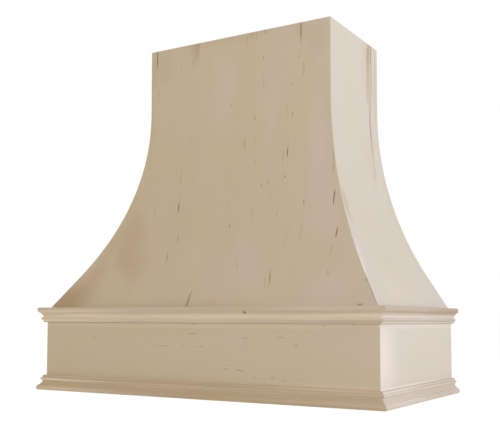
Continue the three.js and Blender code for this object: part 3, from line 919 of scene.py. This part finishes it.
def wall_piece(name, side, levels, ring_at, wood_at):
    """Lofts one sheet or board. `levels` are (z, inset) pairs, and wood_at(run, z, depth) gives the grain."""
    flip = -1 if side == "left" else 1
    rings, woods = [], []
    for z, inset in levels:
        ring = ring_at(z, inset)
        rings.append([(flip * x, y, z) for x, y, _ in ring])
        woods.append([wood_at(x if side == "front" else y - WALL_Y, z, depth) for x, y, depth in ring])
    return loft(name, rings, woods)


def skin_levels():
    """Close together down the flare, with the top edge eased."""
    steps = [BAND_HEIGHT + FLARE_DROP * step / FLARE_STEPS for step in range(FLARE_STEPS + 1)]
    return [(z, 0.0) for z in steps] + [(TOP - SHEET_EASE, 0.0), (TOP, SHEET_EASE)]


def build_skins():
    def face_x(z, behind):
        return NECK_HALF + flare_offset(z, behind)

    def face_y(z, behind):
        return NECK_FRONT_Y - flare_offset(z, behind)

    def front(z, inset):
        return front_ring(face_x, face_y, z, inset, SKIN, SKIN_CORNER)

    def right(z, inset):
        return right_ring(face_x, face_y, z, inset, SKIN, SKIN_CORNER, SHEET_EASE)

    def upright_grain(run, z, depth):
        return (run, depth, length_down(z))

    sheets = [
        ("front", "front_skin", front, 1, FRONT_MARKS, FRONT_PATCHES),
        ("left", "left_side_skin", right, 2, LEFT_MARKS, []),
        ("right", "right_side_skin", right, 3, RIGHT_MARKS, RIGHT_PATCHES),
    ]
    for side, node, ring_at, seed, marks, patches in sheets:
        piece = wall_piece(f"{node}_sheet", side, skin_levels(), ring_at, upright_grain)
        material = veneer_material(f"maple_veneer_{side}", seed, marks, patches)
        stand_for(piece, node, material)


def build_band():
    def face_x(z, behind):
        return BAND_HALF - behind

    def face_y(z, behind):
        return BAND_FRONT_Y + behind

    def front(z, inset):
        return front_ring(face_x, face_y, z, inset, BOARD, BAND_CORNER)

    def right(z, inset):
        return right_ring(face_x, face_y, z, inset, BOARD, BAND_CORNER, BOARD_EASE)

    def level_grain(run, z, depth):
        return (z, depth, run)

    ends = [(0.0, BOARD_EASE), (BOARD_EASE, 0.0)]
    levels = ends + [(BAND_HEIGHT - z, inset) for z, inset in reversed(ends)]
    for seed, (side, ring_at) in enumerate([("front", front), ("left", right), ("right", right)], 4):
        node = f"band_{side}_board"
        piece = wall_piece(f"{node}_maple", side, levels, ring_at, level_grain)
        # The front board's flecks, and on every board the painted shade line under the top moulding
        marks = BAND_MARKS + [FRONT_JOINT_SHADE] if side == "front" else [SIDE_JOINT_SHADE]
        patches = BAND_PALE_AND_PAINTED_LIGHT.get(node, [])
        name = f"maple_board_{side}"
        material = board_material(name, seed, BOARD_RINGS, PLAIN_TINT, marks, patches)
        stand_for(piece, node, material)


# ---------------------------------------------------------------- mouldings

NOSE_HEIGHT = 14 * MM
NOSE_ROUND = 6.4 * MM
NOSE_TIP = 6.0 * MM
NOSE_LEAN = 1.0 * MM
NOSE_TAPER = 1.5 * MM
STEP_REACH = 12.4 * MM
STEP_SLOPE = 0.8 * MM
WAIST_REACH = 7.2 * MM
WAIST_HEIGHT = 22.5 * MM
BEAD_REACH = 11.6 * MM
BEAD_TIP = 28.8 * MM
BEAD_END = 32.6 * MM
CURVE_LEAD = 1.8 * MM
FILLET_REACH = 7.3 * MM
FILLET_EASE = 0.8 * MM
CURVE_STEPS = 10


def curve(start, control, end):
    """Points of a quadratic curve after its start."""
    points = []
    for step in range(1, CURVE_STEPS + 1):
        t = step / CURVE_STEPS
        a, b, c = (1 - t) ** 2, 2 * t * (1 - t), t * t
        points.append(tuple(a * s + b * m + c * e for s, m, e in zip(start, control, end)))
    return points


def trim_outline():
    """(reach, height above the wide edge) round the moulding: back, nose, step, cove, bead and fillet."""
    nose_start = (TRIM_REACH - NOSE_ROUND, 0.0)
    nose_tip = (TRIM_REACH, NOSE_TIP)
    nose_shoulder = (TRIM_REACH - NOSE_LEAN, NOSE_HEIGHT - NOSE_TAPER)
    nose_end = (TRIM_REACH - NOSE_ROUND, NOSE_HEIGHT)
    cove_start = (STEP_REACH, NOSE_HEIGHT + STEP_SLOPE)
    waist = (WAIST_REACH, WAIST_HEIGHT)
    turn = ((WAIST_REACH + BEAD_REACH) / 2, (WAIST_HEIGHT + BEAD_TIP) / 2)
    bead_tip = (BEAD_REACH, BEAD_TIP)
    bead_end = (FILLET_REACH, BEAD_END)
    outline = [(0.0, 0.0), nose_start]
    outline += curve(nose_start, (TRIM_REACH, 0.0), nose_tip)
    outline += curve(nose_tip, nose_shoulder, nose_end)
    outline += [cove_start]
    outline += curve(cove_start, (WAIST_REACH, WAIST_HEIGHT - CURVE_LEAD), waist)
    outline += curve(waist, (WAIST_REACH, WAIST_HEIGHT + CURVE_LEAD), turn)
    outline += curve(turn, (BEAD_REACH, BEAD_TIP - CURVE_LEAD), bead_tip)
    outline += curve(bead_tip, (BEAD_REACH, BEAD_END), bead_end)
    outline += [(FILLET_REACH, TRIM_HEIGHT - FILLET_EASE), (FILLET_REACH - FILLET_EASE, TRIM_HEIGHT)]
    outline += [(0.0, TRIM_HEIGHT)]
    return outline


def trim_cuts(side, reaches):
    """The (x, y) of each reach at every cut along the moulding's run."""
    arc = corner_arc(TRIM_CORNER)
    if side == "front":
        ends = [(-1, *place) for place in reversed(arc)] + [(1, *place) for place in arc]
        return [
            [(sign * (BAND_HALF + reach - SEAM - back), BAND_FRONT_Y - reach + behind) for reach in reaches]
            for sign, back, behind in ends
        ]
    sign = -1 if side == "left" else 1
    cuts = [
        [(sign * (BAND_HALF + reach - behind), BAND_FRONT_Y - reach + SEAM + back) for reach in reaches]
        for back, behind in reversed(arc)
    ]
    return cuts + [[(sign * (BAND_HALF + reach), WALL_Y) for reach in reaches]]


def build_trim(kind, side, height_at, seed):
    """One length of the moulding. height_at turns a height above its wide edge into a height on the cover."""
    reaches, heights = zip(*trim_outline())
    rings, woods = [], []
    for cut in trim_cuts(side, reaches):
        rings.append([(x, y, height_at(height)) for (x, y), height in zip(cut, heights)])
        run = [x if side == "front" else y for x, y in cut]
        woods.append(list(zip(heights, reaches, run)))
    node = f"{kind}_trim_{side}"
    piece = loft(f"{node}_moulding", rings, woods)
    tone_and_shade = MOULDING_TONE_AND_SHADE.get(node, PLAIN_TINT)
    marks = TOP_TRIM_MARKS if node == "top_trim_front" else []
    patches = TRIM_TONES_AND_PAINTED_LIGHT.get(node, [])
    material = board_material(f"maple_moulding_{kind}_{side}", seed, MOULDING_RINGS, tone_and_shade, marks, patches)
    stand_for(piece, node, material)


def build_trims():
    sides = ("front", "left", "right")
    for number, side in enumerate(sides):
        build_trim("top", side, lambda height: TRIM_TOP - height, 7 + number)
        build_trim("bottom", side, lambda height: height, 10 + number)


# ---------------------------------------------------------------- inner frame

WELD_GAP = 0.01 * MM
FLAT_ANGLE = math.radians(0.5)
SHARP_ANGLE = math.radians(40)
SHORTEST_EDGE = 5 * MM
# How far apart two pieces of plywood and two of pine are cut
PLY_STEP = 0.61
PINE_STEP = 0.43


def eased_copy(node, ease):
    """A welded copy of a CAD node's mesh, with its outer edges eased and its bored holes left crisp."""
    work = bmesh.new()
    work.from_mesh(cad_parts[node].data)
    bmesh.ops.remove_doubles(work, verts=work.verts, dist=WELD_GAP)
    bmesh.ops.dissolve_limit(work, angle_limit=FLAT_ANGLE, verts=work.verts, edges=work.edges)
    long_edges = [edge for edge in work.edges if is_outer(edge)]
    bmesh.ops.bevel(
        work, geom=long_edges, offset=ease, segments=2, profile=0.5, affect="EDGES", clamp_overlap=True
    )
    mesh = bpy.data.meshes.new(f"{node}_wood")
    work.to_mesh(mesh)
    work.free()
    return mesh


def is_outer(edge):
    """True for the sharp edges of a board, and false for the rims and walls of its holes."""
    if len(edge.link_faces) != 2 or edge.calc_length() < SHORTEST_EDGE:
        return False
    return edge.calc_face_angle() > SHARP_ANGLE


FRAME_AXES = (Vector((1, 0, 0)), Vector((0, 1, 0)), Vector((0, 0, 1)))


def frame_piece(node, along, through, material, shift):
    """An eased piece of the inner frame. `along` and `through` are the ways of its grain and thickness."""
    mesh = eased_copy(node, FRAME_EASE)
    across = along.cross(through)
    lowest = min(vertex.co.dot(through) for vertex in mesh.vertices)
    places = [
        (v.co.dot(across) + shift, v.co.dot(through) - lowest, v.co.dot(along) + shift)
        for v in mesh.vertices
    ]
    set_wood(mesh, places)
    stand_for(add_object(f"{node}_wood", mesh), node, material)


def build_frame():
    x, y, z = FRAME_AXES
    diagonal = (x + y).normalized()
    other_diagonal = (x - y).normalized()
    plywood = plywood_material()
    pine = pine_material()
    rows = [(f"{kind}_rail_{side}", along, z) for kind in ("top", "shelf")
            for side, along in (("front", x), ("left", y), ("right", y), ("back", x))
            if (kind, side) != ("top", "back")]
    rows += [("upper_hanging_rail", x, y), ("lower_hanging_rail", x, y)]
    rows += [(f"{kind}_rib_{side}", z, through) for side in ("left", "right")
             for kind, through in (("front", x), ("side", y), ("back", y))]
    rows += [("hip_rib_left", z, other_diagonal), ("hip_rib_right", z, diagonal)]
    for number, (node, along, through) in enumerate(rows):
        frame_piece(node, along, through, plywood, number * PLY_STEP)
    strips = [("insert_ledger_front", x, y), ("insert_ledger_back", x, y)]
    strips += [("insert_ledger_left", y, x), ("insert_ledger_right", y, x)]
    strips += [("corner_block_left", z, x), ("corner_block_right", z, x)]
    for number, (node, along, through) in enumerate(strips):
        frame_piece(node, along, through, pine, number * PINE_STEP)


# ---------------------------------------------------------------- screws

SHANK_RADIUS = 1.9 * MM
CORE_RADIUS = 1.35 * MM
HEAD_RADIUS = 4.1 * MM
HEAD_HEIGHT = 2.8 * MM
TIP_HEIGHT = 4 * MM
THREAD_PITCH = 1.7 * MM
THREAD_STEPS = 6
RECESS_ARM = 2.3 * MM
RECESS_HALF = 0.55 * MM
RECESS_DEPTH = 1.9 * MM
RECESS_LIP = 0.05 * MM
RECESS_EASE = 0.08 * MM
# The recess narrows on its way down, in shares of its outline and depth, to a point a little deeper
RECESS_TAPER = [(0.45, 1.0), (0.80, 0.5)]
RECESS_POINT = 1.1
# The rim from the head's flat face: how far inside the head's radius and how far down
HEAD_RIM = [(0.25 * MM, 0.0), (0.0, 0.12 * MM), (0.0, 0.35 * MM)]
CREST_SLOPE = 3.2
TIP_SHARES = (0.35, 0.7)
QUARTER_STEPS = 8
ROUNDING = 1e-9


def recess_angles():
    """Angles round the head, with one at each corner of the cross recess."""
    corner = math.atan2(RECESS_HALF, RECESS_ARM)
    quarter = [0.0, corner]
    between = QUARTER_STEPS - 3
    for step in range(1, between + 1):
        quarter.append(corner + (math.pi / 2 - 2 * corner) * step / (between + 1))
    quarter.append(math.pi / 2 - corner)
    return [k * math.pi / 2 + a for k in range(4) for a in quarter]


def recess_radius(angle, scale):
    """The cross's outline in polar form."""
    turned = abs((angle + math.pi / 4) % (math.pi / 2) - math.pi / 4)
    if math.tan(turned) <= RECESS_HALF / RECESS_ARM + ROUNDING:
        return scale * RECESS_ARM / math.cos(turned)
    return scale * RECESS_HALF / math.sin(turned)


def thread_radius(angle, z):
    phase = (z / THREAD_PITCH - angle / (2 * math.pi)) % 1.0
    crest = max(0.0, 1 - abs(phase - 0.5) * CREST_SLOPE)
    return CORE_RADIUS + (SHANK_RADIUS - CORE_RADIUS) * crest


def head_rings(angles):
    """(radius, height) rings from the bottom of the recess, over the rim and down the countersink."""
    rings = [
        [(recess_radius(a, scale), -RECESS_DEPTH * share) for a in angles]
        for scale, share in RECESS_TAPER
    ]
    rings.append([(recess_radius(a, 1.0), -RECESS_LIP) for a in angles])
    rings.append([(recess_radius(a, 1.0) + RECESS_EASE, 0.0) for a in angles])
    rings += [[(HEAD_RADIUS - inside, -down)] * len(angles) for inside, down in HEAD_RIM]
    rings.append([(CORE_RADIUS, -HEAD_HEIGHT)] * len(angles))
    return rings


def shank_rings(angles, length):
    """(radius, height) rings down the thread and its tapering tip."""
    threaded = length - HEAD_HEIGHT - TIP_HEIGHT
    steps = round(threaded / THREAD_PITCH * THREAD_STEPS)
    rings = []
    for step in range(1, steps + 1):
        z = -HEAD_HEIGHT - threaded * step / steps
        rings.append([(thread_radius(a, z), z) for a in angles])
    for share in TIP_SHARES:
        z = -length + TIP_HEIGHT * (1 - share)
        rings.append([(thread_radius(a, z) * (1 - share), z) for a in angles])
    return rings


def screw_mesh(length):
    """A countersunk cross-recess screw with its head at the origin and a rolled thread down -Z."""
    angles = recess_angles()
    rings = head_rings(angles) + shank_rings(angles, length)
    points = [(0, 0, -RECESS_DEPTH * RECESS_POINT)]
    points += [(r * math.cos(a), r * math.sin(a), z) for ring in rings for a, (r, z) in zip(angles, ring)]
    points.append((0, 0, -length))
    count = len(angles)
    faces = [(0, 1 + i, 1 + (i + 1) % count) for i in range(count)]
    faces += side_faces(len(rings), count, 1)
    last = len(points) - 1
    faces += [(last, last - count + i, last - count + (i + 1) % count) for i in range(count)]
    mesh = bpy.data.meshes.new("screw")
    mesh.from_pydata(points, [], faces)
    return mesh


def build_screws():
    """Each screw's head lies flush on the face that the way of its shank starts from."""
    x, y, z = FRAME_AXES
    kinds = ("hip", "front", "side", "back")
    ways = {f"{kind}_foot_screw_{side}": z for kind in kinds for side in ("left", "right")}
    ways |= {name.replace("foot", "top"): -z for name in ways}
    for side, way in (("front", -y), ("back", y), ("left", -x), ("right", x)):
        ways |= {f"ledger_screw_{side}_{end}": way for end in (1, 2)}
    zinc = zinc_material()
    for node, way in ways.items():
        low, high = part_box(node)
        length = abs((high - low).dot(way))
        piece = add_object(f"{node}_zinc", screw_mesh(length))
        head = (low + high) / 2 - way * length / 2
        turn = way.to_track_quat("-Z", "Y").to_matrix().to_4x4()
        spin = Matrix.Rotation(random.uniform(0, math.pi / 2), 4, "Z")
        piece.matrix_world = Matrix.Translation(head) @ turn @ spin
        stand_for(piece, node, zinc)


make_camera()
make_floor()
make_world()
make_lamps()
build_skins()
build_band()
build_trims()
build_frame()
build_screws()

bpy.context.scene.view_settings.view_transform = "Standard"
